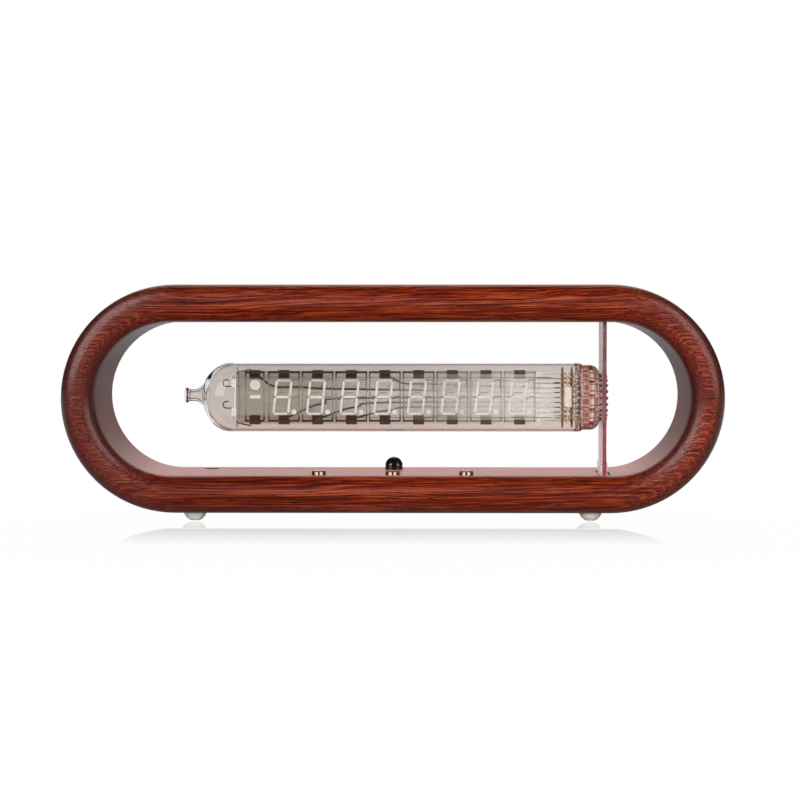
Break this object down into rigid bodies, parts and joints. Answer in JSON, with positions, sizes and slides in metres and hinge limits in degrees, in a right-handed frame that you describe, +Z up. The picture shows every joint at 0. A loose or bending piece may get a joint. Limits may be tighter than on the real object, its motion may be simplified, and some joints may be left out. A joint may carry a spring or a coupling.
{
  "type": "vacuum fluorescent desk clock",
  "caption": "Desk clock: a long glass vacuum fluorescent display tube on an upright board inside a bullnosed wooden loop, with brass push buttons, a domed sensor and soft feet.",
  "frame": {"origin": "middle of the footprint, on the table plane under the feet", "axes": "+X along the loop to the viewer's right, +Y from the front to the back, +Z up"},
  "size_m": [0.18, 0.044, 0.0643],
  "materials": {
    "wood": "satin lacquer",
    "cover_board": "matt",
    "steel": "plain",
    "clear_rubber": "clear",
    "brass": "polished",
    "black_plastic": "matt",
    "black_lens": "gloss",
    "ivory_plastic": "matt",
    "board_laminate": "satin",
    "red_laminate": "satin",
    "tinned": "tinned",
    "tube_glass": "clear",
    "plate_glass": "frosted",
    "mica": "satin",
    "phosphor": "powdery",
    "grid_metal": "oxidised",
    "seal_wire": "oxidised copper",
    "nickel": "bright"
  },
  "bodies": {
    "clock_body": {"wood_frame": "wood", "bottom_cover": "cover_board", "cover_screws": "steel", "front_left_foot": "clear_rubber", "front_right_foot": "clear_rubber", "rear_left_foot": "clear_rubber", "rear_right_foot": "clear_rubber", "switch_bodies": "black_plastic", "switch_plates": "steel", "main_board": "board_laminate", "board_standoffs": "brass", "board_screws": "steel", "remote_sensor": "black_lens", "sensor_legs": "tinned", "buzzer": "black_plastic", "socket_shell": "steel", "socket_tongue": "black_plastic", "controller_chip": "black_plastic", "driver_chip": "black_plastic", "clock_chip": "black_plastic", "crystal": "steel", "coin_cell": "steel", "cell_holder": "black_plastic", "boost_coil": "black_plastic", "capacitors": "tinned", "tube_board": "red_laminate", "link_strips": "black_plastic", "link_pins": "tinned", "pin_solder": "tinned", "glass_envelope": "tube_glass", "glass_base": "tube_glass", "base_pins": "seal_wire", "inner_leads": "nickel", "anode_plate": "plate_glass", "anode_segments": "phosphor", "grid_wires": "grid_metal", "grid_0": "grid_metal", "grid_1": "grid_metal", "grid_2": "grid_metal", "grid_3": "grid_metal", "grid_4": "grid_metal", "grid_5": "grid_metal", "grid_6": "grid_metal", "grid_7": "grid_metal", "grid_8": "grid_metal", "filaments": "nickel", "filament_springs": "nickel", "left_spacer": "mica", "tail_hooks": "nickel", "bulb_springs": "nickel", "first_disc": "mica", "second_disc": "mica", "getter": "brass"},
    "left_button_body": {"left_button": "brass", "left_plunger": "ivory_plastic"},
    "middle_button_body": {"middle_button": "brass", "middle_plunger": "ivory_plastic"},
    "right_button_body": {"right_button": "brass", "right_plunger": "ivory_plastic"}
  },
  "joints": [
    {"name": "left_button_press", "type": "slide", "parent": "clock_body", "child": "left_button_body", "axis": [0, 0, -1], "range_m": [0, 0.0003], "stiffness_N_per_m": 4000, "springref_m": -0.0001},
    {"name": "middle_button_press", "type": "slide", "parent": "clock_body", "child": "middle_button_body", "axis": [0, 0, -1], "range_m": [0, 0.0003], "stiffness_N_per_m": 4000, "springref_m": -0.0001},
    {"name": "right_button_press", "type": "slide", "parent": "clock_body", "child": "right_button_body", "axis": [0, 0, -1], "range_m": [0, 0.0003], "stiffness_N_per_m": 4000, "springref_m": -0.0001}
  ]
}
